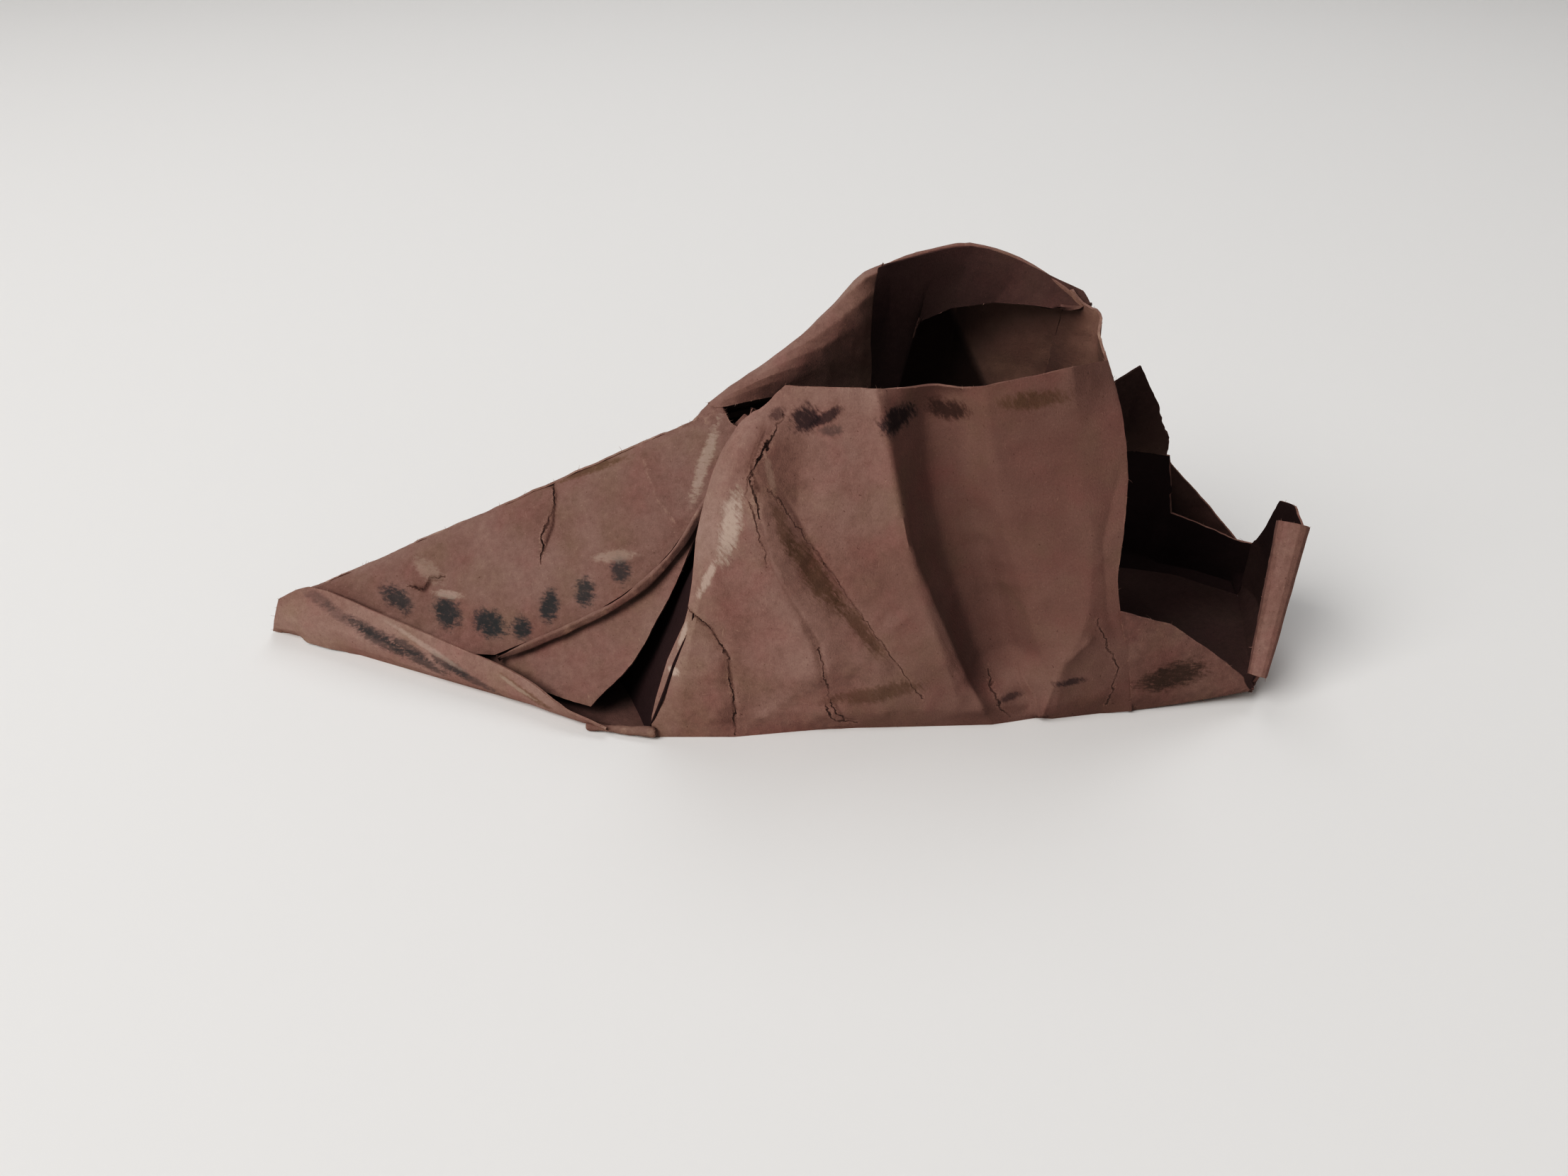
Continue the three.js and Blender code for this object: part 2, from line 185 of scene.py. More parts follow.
def rubbed_mark(across, up, mark, grain, strokes):
    """How much of a wax crayon mark lies here, from 0 to 1.

    It is an uneven oval that only takes on the paper's high spots.
    """
    (middle, height), (half_long, half_short) = mark["at"], mark["half"]
    right, rise = across - middle, up - height
    lean, steep = math.cos(math.radians(mark["turn"])), math.sin(math.radians(mark["turn"]))
    along = (right * lean + rise * steep) / half_long
    over = (rise * lean - right * steep) / half_short
    away = (along * along + over * over).calc("SQRT")
    ragged = away + (grain - 0.5) * 1.1 + (strokes - 0.5) * 1.1
    missed = (grain * 0.5 + strokes * 0.5).rise(0.68, 0.5)
    return ragged.rise(1.2, 0.45) * (missed * 0.5 + 0.5) * mark["weight"]


def distance_to(shop, right, up, points):
    """Distance in millimetres to a line through points."""
    nearest = None
    for (ax, ay), (bx, by) in zip(points, points[1:]):
        dx, dy = bx - ax, by - ay
        x, y = right - ax, up - ay
        run = (x * dx + y * dy) / (dx * dx + dy * dy)
        run = shop.node("ShaderNodeMath", {"operation": "ADD", "use_clamp": True}, (run, 0.0))
        x, y = x - run * dx, y - run * dy
        away = (x * x + y * y).calc("SQRT")
        nearest = away if nearest is None else nearest.calc("MINIMUM", away)
    return nearest


def brown_paper(
    name, marks=(), cracks=(), shadow_tint=0.0, painted_light=0.0, light=1.0, reads_painted_shade=True, stroke_turn=0.5
):
    """Construction paper.

    The dark purple that it can be mixed with is painted shade, for insides that lie in shadow, and its fading
    towards bare fibre is painted light, where no painted shade lies. Some copies are darkened by the sheet's
    painted shade gradient, and light scales the colour as painted light and shade, panel by panel.
    stroke_turn, in radians, is the way that its crayon strokes run.
    """
    shop = Shop(name)
    where = shop.place()
    cloud = shop.speckle(where, 0.05, 2.0)
    blush = shop.speckle(shop.shifted(where, (31.0, 7.0, 12.0)), 0.13, 3.0)
    drab = shop.speckle(shop.shifted(where, (-12.0, 44.0, 5.0)), 0.09, 3.0)
    mottle = shop.speckle(where, 0.75, 5.0, 0.66)
    pulp = shop.speckle(where, 3.4, 3.0, 0.6)
    fibres = None
    for turn in (0.2, 1.0, 1.8, 2.6):
        laid = shop.shifted(where, (turn * 9, 3.0, turn * 5), (0.3, turn, 0.7 * turn), (2.4, 0.3, 0.3))
        one = shop.speckle(laid, 1.0, 2.0, 0.5, 0.35)
        fibres = one if fibres is None else fibres.calc("MAXIMUM", one)
    long_fibres = fibres.rise(0.68, 0.8)

    colour = shop.blend(cloud.rise(0.3, 0.7), DUSKY, WARM)
    colour = shop.blend(blush.rise(0.42, 0.8) * 0.55, colour, RUSSET)
    colour = shop.blend(drab.rise(0.45, 0.8) * 0.5, colour, DRAB)
    # light scales each copy's colour, panel by panel: painted light and shade
    shade = (mottle * 0.55 + pulp * 0.34 + 0.56) * light
    colour = shop.node("ShaderNodeVectorMath", {"operation": "SCALE"}, {0: colour, "Scale": shade})
    colour = shop.blend(long_fibres * 0.3, colour, BARE_FIBRE)
    laid = shop.shifted(where, (5.0, 61.0, 9.0), (0.4, 0.9, 0.5), (1.2, 0.4, 0.4))
    dark_flecks = shop.speckle(laid, 1.0, 2.0, 0.5)
    colour = shop.blend(dark_flecks.rise(0.68, 0.78) * 0.5, colour, FLECK)
    wear, soil = shop.attribute("wear"), shop.attribute("soil")
    patchy = (mottle - 0.5) * 0.9 * wear.rise(0.02, 0.3)
    worn = (wear * 1.25 + patchy + (pulp - 0.5) * 0.5 * wear).rise(0.3, 1.25)
    colour = shop.blend(worn * 0.62, colour, BARE_FIBRE)
    # paper that reads it also takes the sheet's painted shade gradient into its darkening
    if reads_painted_shade:
        soil = soil.calc("MAXIMUM", shop.attribute("grime"))
    # darkens the creases' dirty lines and, where the paper reads it, paints shade from the painted shade
    # gradient
    colour = shop.blend((soil * (mottle + 0.5)).rise(0.0, 1.2) * 0.8, colour, DIRT_AND_SHADE)
    across, up = shop.side_view(where)
    wax = None
    if marks:
        turned = shop.shifted(where, (0, 0, 0), (0, stroke_turn, 0), (2.2, 0.6, 0.5))
        strokes = shop.speckle(turned, 1.0, 2.0, 0.5, 0.6)
        grain = shop.speckle(where, 1.9, 3.0, 0.7)
        wobble = shop.speckle(shop.shifted(where, (3.0, 2.0, 71.0)), 0.5, 2.0)
        for mark in marks:
            here = rubbed_mark(across, up, mark, grain * 0.6 + wobble * 0.4, strokes)
            colour = shop.blend(here, colour, paint(*mark["tone"]))
            wax = here if wax is None else wax.calc("MAXIMUM", here)
    split = None
    if cracks:
        shake = shop.speckle(where, 0.42, 3.0, 0.6)
        shiver = shop.speckle(shop.shifted(where, (9.0, 31.0, 4.0)), 0.42, 3.0, 0.6)
        thin = shop.speckle(shop.shifted(where, (2.0, 8.0, 40.0)), 0.3, 2.0).rise(0.3, 0.62)
        right, rise = across + (shake - 0.5) * 2.4, up + (shiver - 0.5) * 2.4
        for points, width, strength in cracks:
            away = distance_to(shop, right, rise, points) / width
            torn = away.rise(0.85, 0.25) * (thin * 0.75 + 0.25) * strength
            frayed = away.rise(4.0, 1.0) * pulp.rise(0.42, 0.62) * thin * strength
            colour = shop.blend(frayed * 0.3, colour, BARE_FIBRE)
            colour = shop.blend(torn, colour, TORN)
            split = torn if split is None else split.calc("MAXIMUM", torn)
    # mixes in dark purple: painted shade for insides that lie in shadow
    if shadow_tint:
        colour = shop.blend(shadow_tint, colour, SHADOW_PLUM)
    # lightens towards bare fibre where the paper is not darkened: painted light on lit insides
    if painted_light:
        colour = shop.blend(soil.rise(0.5, 0.0) * painted_light, colour, BARE_FIBRE)
    shop.set("Base Color", colour)
    rough = 0.97 - fibres.rise(0.4, 0.8) * 0.08
    shop.set("Roughness", rough - wax * 0.22 if wax else rough)
    shop.set("Specular IOR Level", 0.22)
    height = mottle * 0.5 + pulp * 0.42 + fibres.rise(0.5, 0.8) * 0.14
    if wax:
        height = height + wax * 0.12
    if split:
        height = height - split * 1.2
    bump = shop.node("ShaderNodeBump", {}, {"Strength": 0.85, "Distance": 0.00016, "Height": height})
    shop.set("Normal", bump)
    return shop.material


# ---- Paper ------------------------------------------------------------------------------------------------


def hold(piece):
    bpy.ops.object.select_all(action="DESELECT")
    piece.select_set(True)
    bpy.context.view_layer.objects.active = piece


def finish_with(piece, kind, **settings):
    """Adds one modifier and applies it."""
    hold(piece)
    added = piece.modifiers.new(kind.lower(), kind)
    for name, value in settings.items():
        setattr(added, name, value)
    bpy.ops.object.modifier_apply(modifier=added.name)


def merged_copy(name, node):
    piece = bpy.data.objects.new(name, frame["nodes"][node].data.copy())
    bpy.context.scene.collection.objects.link(piece)
    mesh = bmesh.new()
    mesh.from_mesh(piece.data)
    bmesh.ops.remove_doubles(mesh, verts=mesh.verts, dist=0.002 * MM)
    return piece, mesh


def give_back(piece, mesh):
    mesh.normal_update()
    mesh.to_mesh(piece.data)
    mesh.free()
    piece.data.update()


def keep_face(mesh, toward, sharpest):
    """Keeps the skin that faces toward, and drops the panel's narrow rim and its reverse.

    sharpest is the largest bend within the skin, in degrees.
    """
    rim_width, nearly_level = 0.55 * MM, math.radians(30)
    mesh.normal_update()
    if sharpest > 60:
        longest = {face: max(edge.calc_length() for edge in face.edges) for face in mesh.faces}
        thin = {face for face in mesh.faces if 2 * face.calc_area() < rim_width * longest[face]}
        queue = [face for face in mesh.faces if face not in thin]
        while queue:  # narrow faces that lie level with the skin are its tapered ends, not the rim
            for edge in queue.pop().edges:
                if edge.calc_face_angle(0.0) < nearly_level:
                    level = thin.intersection(edge.link_faces)
                    thin -= level
                    queue.extend(level)
        bmesh.ops.delete(mesh, geom=list(thin), context="FACES")
    free, skins = set(mesh.faces), []
    while free:
        skin, queue = set(), [free.pop()]
        while queue:
            face = queue.pop()
            skin.add(face)
            for edge in face.edges:
                if len(edge.link_faces) == 2 and edge.calc_face_angle(0.0) < math.radians(sharpest):
                    other = edge.link_faces[0] if edge.link_faces[1] is face else edge.link_faces[1]
                    if other in free:
                        free.discard(other)
                        queue.append(other)
        skins.append(skin)
    skins.sort(key=lambda skin: -sum(face.calc_area() for face in skin))
    faced = max(
        skins[:2], key=lambda skin: sum((face.normal * face.calc_area()).dot(toward) for face in skin)
    )
    bmesh.ops.delete(mesh, geom=[face for face in mesh.faces if face not in faced], context="FACES")
    bmesh.ops.join_triangles(
        mesh, faces=mesh.faces, angle_face_threshold=math.radians(50), angle_shape_threshold=math.radians(80)
    )


def solid_tree(node):
    data = frame["nodes"][node].data
    return BVHTree.FromPolygons([v.co for v in data.vertices], [p.vertices for p in data.polygons])


def middle_of(faces):
    return sum((face.calc_center_median() for face in faces), Vector()) / len(faces)


def stretch_border(mesh, meets, grow):
    """Draws the border out to the panels that it meets at a crease, and lets a free border grow a little."""
    joined = mesh.verts.layers.float.new("joined")
    pinned = mesh.verts.layers.float.new("crease_vert")
    mesh.normal_update()
    trees = {node: (solid_tree(node), reach * MM) for node, reach in meets.items()}
    moves = []
    for vert in mesh.verts:
        if not vert.is_boundary:
            continue
        out = vert.co - middle_of(vert.link_faces)
        ends = [edge.other_vert(vert).co for edge in vert.link_edges if edge.is_boundary]
        sharp = 0.0
        if len(vert.link_faces) > 1 and len(ends) == 2 and (ends[1] - ends[0]).length > 0:
            along = (ends[1] - ends[0]).normalized()
            out -= along * out.dot(along)
            sharp = math.degrees((ends[1] - vert.co).angle(vert.co - ends[0], 0.0))
        out -= vert.normal * out.dot(vert.normal)
        out.normalize()
        found = [(tree.find_nearest(vert.co, reach), node) for node, (tree, reach) in trees.items()]
        found = [(hit[3], hit[0], node) for hit, node in found if hit[0] is not None]
        if found:
            _, near, node = min(found, key=lambda item: item[0])
            if node.endswith("floor"):
                near = near + vert.normal * 0.2 * MM + Vector((0, 0, -0.4 * MM))
            if node == "hood_rim":  # the paper turns over the rim
                near = near + vert.normal * 0.5 * MM + out * 1.7 * MM
            moves.append((vert, near + out * 0.12 * MM, 1.0, 1.0))
        else:
            moves.append((vert, vert.co + out * grow, 0.0, 1.0 if sharp > 15 else 0.0))
    for vert, place, met, pin in moves:
        vert.co, vert[joined], vert[pinned] = place, met, pin


def mark_creases(mesh):
    """Marks the bent edges, so that subdivision keeps them."""
    soft, hard = 5, 20  # degrees of bend: where a crease starts to count, and where it counts most
    crease = mesh.edges.layers.float.new("crease_edge")
    mesh.normal_update()
    for edge in mesh.edges:
        if len(edge.link_faces) == 2:
            angle = math.degrees(edge.calc_face_angle(0.0))
            edge[crease] = min(max((angle - soft) / (hard - soft), 0.0), 0.9)


class Fold:
    """A crease that runs through points on a panel.

    depth and step are in millimetres. A positive depth stands out and a negative one sinks in, and step is
    how far the crease's two sides part. wear and soil colour its line, and fade is the share of its length
    that runs out at each end.
    """

    def __init__(self, points, depth, width, wear=0.0, soil=0.0, step=0.0, fade=0.18, flat=False):
        self.points, self.depth, self.width, self.flat = points, depth, width, flat
        self.wear, self.soil, self.step, self.fade = wear, soil, step, fade
        spans = [math.dist(a, b) for a, b in zip(points, points[1:])]
        self.reached = [sum(spans[:k]) for k in range(len(points))]
        self.length = sum(spans)

    def at(self, place):
        x, y = (place[axis] / MM for axis in SIDE_VIEW)
        best = (math.inf, 0, 0)
        for (ax, ay), (bx, by), start in zip(self.points, self.points[1:], self.reached):
            dx, dy = bx - ax, by - ay
            span = math.hypot(dx, dy)
            share = min(max(((x - ax) * dx + (y - ay) * dy) / (span * span), 0.0), 1.0)
            away = math.hypot(x - ax - share * dx, y - ay - share * dy)
            if away < best[0]:
                best = (away, start + share * span, dx * (y - ay) - dy * (x - ax))
        away, run, side = best
        if away > 6 * self.width + 2:
            return 0.0, 0.0, 0.0
        run_out = self.fade * self.length
        ends = smooth(run / run_out) * smooth((self.length - run) / run_out)
        if self.flat:  # two flat sides that meet in a soft valley
            push = ends * self.depth * max(0.0, 1 - math.hypot(away, 0.9) / self.width)
        else:
            push = ends * self.depth * math.exp(-away / self.width)
        if self.step:
            step = self.step if side > 0 else -self.step
            push += ends * step * math.exp(-away / self.width) * smooth(away / 0.35)
        line = ends * math.exp(-((away / 0.45) ** 2))
        return push, self.wear * line, self.soil * line


def pulled(place, pulls):
    """Where sculpting pulls leave a place.

    A pull has its middle in side view, how far it moves paper there, and its reach, all in millimetres.
    """
    moved = place.copy()
    for (x, z), offset, reach in pulls:
        away = math.hypot(place.x / MM - x, place.z / MM - z)
        moved += Vector(offset) * MM * smooth(1 - away / reach)
    return moved


def crumple(piece, depth, folds, seed, ragged=0.12, grime=None, pulls=()):
    """Works the sheet: broad waves, sharp small creases and the named folds, along the sheet's own normal.

    Its painted shade gradient is given by the place where it leaves the paper light, the place where the
    painted shade is darkest, and how dark.
    """
    mesh = bmesh.new()
    mesh.from_mesh(piece.data)
    wear, soil, grimed = (mesh.verts.layers.float.new(name) for name in ("wear", "soil", "grime"))
    joined = mesh.verts.layers.float.get("joined")
    mesh.normal_update()
    rim = [vert for vert in mesh.verts if vert.is_boundary]
    nearest = kdtree.KDTree(len(rim))
    for k, vert in enumerate(rim):
        nearest.insert(vert.co, k)
    nearest.balance()
    moves = []
    for vert in mesh.verts:
        _, k, away = nearest.find(vert.co)
        met = rim[k][joined]
        p = vert.co / MM + Vector((seed * 17.3, seed * 5.1, seed * 9.7))
        broad = noise.noise(p / 23)
        ridges = abs(noise.noise(p / 10.5)) + 0.6 * abs(noise.noise(p / 5.3 + Vector((7, 3, 1))))
        small = noise.noise(p / 2.4)
        push = depth * (0.8 * broad + 0.75 * (0.33 - ridges) + 0.07 * small)
        if met > 0.5:
            push *= smooth(away / (3.5 * MM))
        on_ridge = math.exp(-((abs(noise.noise(p / 10.5)) / 0.035) ** 2))
        worn = 0.26 * on_ridge * smooth(noise.noise(p / 31) + 0.6)
        dirt = painted_dark = 0.0
        for fold in folds:
            more, rub, dust = fold.at(vert.co)
            push, worn, dirt = push + more, max(worn, rub), max(dirt, dust)
        if met < 0.5:
            worn = max(worn, 0.55 * math.exp(-away / PAPER) * (0.6 + 0.8 * noise.noise(p / 3.1)))
        # a painted shade gradient, strongest towards its dark place
        if grime:
            clean, dark, most = Vector(grime[0]), Vector(grime[1]), grime[2]
            here = Vector((p.x - seed * 17.3, p.z - seed * 9.7))
            share = (here - clean).dot(dark - clean) / (dark - clean).length_squared
            painted_dark = most * smooth(share + 0.12 * noise.noise(p / 9))
        place = pulled(vert.co, pulls) + vert.normal * push * MM
        if vert.is_boundary and met < 0.5:
            jitter = noise.noise_vector(p / 1.3) * 0.6 + noise.noise_vector(p / 5.5)
            place += jitter * ragged * MM
        moves.append((vert, place, worn, dirt, painted_dark))
    for vert, place, worn, dirt, painted_dark in moves:
        vert.co = place
        vert[wear], vert[soil], vert[grimed] = max(worn, 0.0), dirt, painted_dark
    give_back(piece, mesh)


def give_materials(piece, *materials):
    piece.data.materials.clear()
    for material in materials:
        piece.data.materials.append(material)


def shade(piece):
    hold(piece)
    bpy.ops.object.shade_smooth_by_angle(angle=SMOOTH_BELOW)


def dress(piece, nodes):
    shade(piece)
    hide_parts(*nodes)


# the panels that each panel runs up to, and how far off they may be, in millimetres
MEETS = {
    "beak_outer_flap": {"beak_flap_hem": 2.2, "beak_back_panel": 2.2, "jaw_fold": 2.4},
    "jaw_fold": {"beak_floor": 1.8},
    "beak_back_panel": {"beak_floor": 2.0, "body_back_panel": 3.0},
    "beak_floor": {"body_floor": 2.6, "body_side_gusset": 2.6},
    "body_front_panel": {"body_floor": 2.2, "tail_apron": 2.2, "body_side_gusset": 2.4},
    "body_side_gusset": {"body_front_panel": 2.6, "beak_floor": 2.4},
    "body_back_panel": {"body_floor": 2.2, "hood_shoulder": 3.6},
    "body_floor": {"tail_floor": 2.2},
    "tail_apron": {"tail_floor": 2.2, "tail_end_wall": 3.2},
    "tail_rear_wall": {"tail_floor": 4.2, "body_back_panel": 4.8},
    "tail_end_wall": {"tail_floor": 3.8, "tail_end_roll": 5.0, "tail_rear_wall": 2.4},
    "ear_tab": {"tail_rear_wall": 1.8},
    "hood_shoulder": {"body_back_panel": 3.4, "hood_back_panel": 3.0, "hood_cuff": 2.0},
    "hood_back_panel": {"body_back_panel": 2.8, "hood_rim": 1.6},
    "hood_cheek": {"hood_back_panel": 3.0, "hood_rim": 2.6, "body_back_panel": 2.8},
    "hood_cuff": {"hood_rim": 1.9, "hood_shoulder": 2.5, "hood_cheek": 3.7},
}
# Darkened copies of the paper for linings and insides: painted shade, deepest for the tail, back panel and
# gusset
SHADED_INSIDE = brown_paper("inside_paper", shadow_tint=0.3)
# the next copy is lighter where no painted shade lies: painted light on the lit hood insides
LIT_INSIDE = brown_paper("lit_inside_paper", painted_light=0.3)
DEEP_SHADE = brown_paper("deep_inside_paper", shadow_tint=0.86)
SHADED_CUFF = brown_paper("cuff_paper", shadow_tint=0.55)
DIM_SHADE = brown_paper("dim_inside_paper", shadow_tint=0.6)
PLAIN = brown_paper("plain_paper", light=1.04, reads_painted_shade=False)
# the next copy takes the painted shade gradient: painted shade on the hood shoulder's inside
PLAIN_WITH_SHADE = brown_paper("plain_paper_with_shade", light=1.04)
fibre_shop = Shop("loose_pulp")
fibre_share = fibre_shop.speckle(fibre_shop.place(), 0.6, 2.0).rise(0.35, 0.65)
fibre_shop.set("Base Color", fibre_shop.blend(fibre_share, paint(0.2, 0.12, 0.1), paint(0.42, 0.3, 0.25)))
fibre_shop.set("Roughness", 0.95)
FIBRE = fibre_shop.material

free_edges = {}


def note_free_edges(piece, node):
    """Remembers where a sheet's torn edges run, and which way they point, for the loose fibres."""
    mesh = bmesh.new()
    mesh.from_mesh(piece.data)
    mesh.normal_update()
    joined = mesh.verts.layers.float.get("joined")
    for vert in mesh.verts:
        if vert.is_boundary and vert[joined] < 0.5:
            out = (vert.co - middle_of(vert.link_faces)).normalized()
            edge = (vert.co.copy(), out, vert.normal.copy())
            free_edges.setdefault(body_of[node], []).append(edge)
    mesh.free()


def loose_fibres(body, count):
    """Short hairs of pulp that stand out of the torn edges."""
    mesh = bmesh.new()
    edges = free_edges[body]
    for k in range(count):
        root, out, face = edges[(k * 7919 + 31) % len(edges)]
        chance = noise.noise_vector(Vector((k * 1.37, k * 0.71, len(edges) * 0.01)))
        side = out.cross(face)
        length = (0.35 + 1.5 * abs(chance.x) ** 1.5) * MM
        heading = (out + side * chance.y * 2.2 + face * (chance.z * 1.6 + 0.2)).normalized()
        rings = []
        for step in range(4):
            share = step / 3
            sag = side * chance.z * 1.2 * length * share * share
            middle = root + heading * length * share + sag - out * 0.1 * MM
            thick = (0.045 - 0.03 * share) * MM
            ring = [side * thick * math.cos(turn) + face * thick * math.sin(turn) for turn in (0, 2.09, 4.19)]
            rings.append([mesh.verts.new(middle + corner) for corner in ring])
        for low, high in zip(rings, rings[1:]):
            for j in range(3):
                mesh.faces.new((low[j], low[(j + 1) % 3], high[(j + 1) % 3], high[j]))
        mesh.faces.new(rings[-1])
        mesh.faces.new(rings[0][::-1])
    bmesh.ops.recalc_face_normals(mesh, faces=mesh.faces)
    piece = bpy.data.objects.new(body + "_edge_fibres", bpy.data.meshes.new(body + "_edge_fibres"))
    bpy.context.scene.collection.objects.link(piece)
    give_back(piece, mesh)
    piece.data.materials.append(FIBRE)
    return piece


def sheet(
    node, toward, material=PLAIN, lining=SHADED_INSIDE, depth=0.5, folds=(), seed=1, grow=0.12, sharpest=84, **how
):
    """A panel's sheet: its node's skin, drawn out, subdivided, crumpled and given the paper's thickness."""
    piece, mesh = merged_copy(node + "_sheet", node)
    keep_face(mesh, Vector(toward), sharpest)
    stretch_border(mesh, MEETS.get(node, {}), grow * MM)
    mark_creases(mesh)
    give_back(piece, mesh)
    levels = {"levels": SUBDIVISIONS, "render_levels": SUBDIVISIONS}
    finish_with(piece, "SUBSURF", **levels, boundary_smooth="PRESERVE_CORNERS", use_creases=True)
    crumple(piece, depth, folds, seed, **how)
    note_free_edges(piece, node)
    give_materials(piece, material, lining)
    finish_with(piece, "SOLIDIFY", thickness=PAPER, offset=-1, use_even_offset=False, material_offset=1)
    dress(piece, [node])
    return piece


def rounded_bar(node, material, swell, rub, taper, seed=3, pulls=()):
    """A narrow folded edge. Its two ends thin out by taper, so that they run into the sheets beside them."""
    piece, mesh = merged_copy(node + "_fold", node)
    give_back(piece, mesh)
    finish_with(piece, "SUBSURF", levels=2, render_levels=2)
    mesh = bmesh.new()
    mesh.from_mesh(piece.data)
    wear, soil = mesh.verts.layers.float.new("wear"), mesh.verts.layers.float.new("soil")
    mesh.normal_update()
    low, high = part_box(node)
    moves = []
    for vert in mesh.verts:
        p = vert.co / MM + Vector((seed * 11.0, 0, 0))
        to_end = min(vert.co.x - low.x, high.x - vert.co.x) / (6 * MM)
        push = swell - taper * (1 - smooth(to_end))
        push += 0.25 * (noise.noise(p / 6) + 0.5 * (0.3 - abs(noise.noise(p / 2.5))))
        moves.append((vert, pulled(vert.co, pulls) + vert.normal * push * MM, rub + 0.5 * noise.noise(p / 4)))
    for vert, place, worn in moves:
        vert.co, vert[wear], vert[soil] = place, max(worn, 0), 0.0
    give_back(piece, mesh)
    give_materials(piece, material)
    dress(piece, [node])
    return piece


def corners_near(nodes, near, reach):
    """The sheets' points within reach of a place, drawn a little towards it."""
    points = [vertex.co for node in nodes for vertex in frame["nodes"][node].data.vertices]
    return [point + (near - point) * 0.08 for point in points if (point - near).length < reach]


def knuckle(name, points, material, flow):
    """A crumpled corner where sheets run together: it fills the space between their corners."""
    mesh = bmesh.new()
    for point in points:
        mesh.verts.new(point)
    bmesh.ops.convex_hull(mesh, input=mesh.verts)
    bmesh.ops.delete(mesh, geom=[vert for vert in mesh.verts if not vert.link_faces], context="VERTS")
    piece = bpy.data.objects.new(name, bpy.data.meshes.new(name))
    bpy.context.scene.collection.objects.link(piece)
    bmesh.ops.remove_doubles(mesh, verts=mesh.verts, dist=0.3 * MM)
    give_back(piece, mesh)
    finish_with(piece, "REMESH", mode="VOXEL", voxel_size=0.45 * MM)
    finish_with(piece, "SMOOTH", factor=0.5, iterations=flow)
    mesh = bmesh.new()
    mesh.from_mesh(piece.data)
    wear, soil = mesh.verts.layers.float.new("wear"), mesh.verts.layers.float.new("soil")
    mesh.normal_update()
    for vert in mesh.verts:
        p = vert.co / MM
        vert[wear], vert[soil] = max(0.0, 0.3 + 0.6 * noise.noise(p / 2)), 0.2
        vert.co += vert.normal * (0.35 * (0.25 - abs(noise.noise(p / 2.6))) + 0.3 * noise.noise(p / 5)) * MM
    give_back(piece, mesh)
    shade(piece)
    piece.data.materials.append(material)
    return piece


# ---- Marks and folds --------------------------------------------------------------------------------------


def marks_on(node, *rows):
    """Crayon marks.

    A row has a place in shares of the panel's box, half sizes in millimetres, a turn in degrees, how thickly
    the wax lies, and its colour.
    """
    return [
        {"at": spot(node, *at), "half": half, "turn": turn, "weight": weight, "tone": tone}
        for at, half, turn, weight, tone in rows
    ]


FLAP, JAW, SLEEVE = "beak_outer_flap", "jaw_fold", "body_front_panel"
BACK_PANEL, BEAK_BACK, GUSSET = "body_back_panel", "beak_back_panel", "body_side_gusset"
beak_marks = marks_on(
    FLAP,
    ((0.235, 0.119), (3.9, 1.9), -14, 0.78, TEAL),
    ((0.358, 0.111), (3.2, 2.5), -8, 0.85, TEAL),
    ((0.458, 0.107), (3.6, 2.4), 0, 0.88, TEAL),
    ((0.533, 0.120), (2.2, 1.9), 10, 0.85, TEAL),
    ((0.595, 0.217), (1.9, 2.9), -12, 0.85, TEAL),
    ((0.674, 0.292), (2.1, 2.4), -20, 0.8, TEAL),
    ((0.751, 0.396), (2.2, 2.2), 20, 0.72, TEAL),
    ((0.67, 0.70), (9, 0.5), 22, 0.5, OLIVE),
    ((0.36, 0.175), (3.5, 0.7), 8, 0.4, CHALK),
    ((0.31, 0.24), (3.5, 1.6), -20, 0.22, CHALK),
    ((0.74, 0.44), (4.5, 1.0), 12, 0.3, CHALK),
    ((0.93, 0.82), (1.2, 7.0), -22, 0.45, CHALK),
)
front_marks = marks_on(
    SLEEVE,
    ((0.265, 0.893), (1.5, 0.9), 10, 0.5, INK),
    ((0.317, 0.882), (2.6, 2.3), -8, 0.8, INK),
    ((0.358, 0.886), (3.2, 1.0), 28, 0.7, INK),
    ((0.366, 0.852), (2.2, 1.0), 0, 0.45, TEAL),
    ((0.492, 0.870), (3.6, 2.2), -10, 0.85, INK),
    ((0.592, 0.861), (3.8, 2.0), -5, 0.75, RUST),
    ((0.749, 0.913), (6.0, 1.8), 10, 0.5, OLIVE),
    ((0.275, 0.615), (1.3, 5.5), 20, 0.4, OLIVE),
    ((0.338, 0.470), (2.2, 9.0), 33, 0.55, OLIVE),
    ((0.425, 0.320), (1.4, 8.5), 38, 0.45, OLIVE),
    ((0.463, 0.126), (9.5, 1.8), 8, 0.4, OLIVE),
    ((0.862, 0.137), (3.4, 0.9), 0, 0.6, INK),
    ((0.746, 0.077), (2.6, 0.8), 10, 0.5, INK),
    ((0.174, 0.620), (1.9, 6.5), -12, 0.85, CHALK),
    ((0.129, 0.480), (0.8, 5.0), -25, 0.7, CHALK),
    ((0.250, 0.760), (0.7, 4.0), 12, 0.3, CHALK),
    ((0.055, 0.200), (1.2, 0.9), 0, 0.8, CHALK),
    ((0.075, 0.300), (0.5, 2.6), -20, 0.6, CHALK),
)
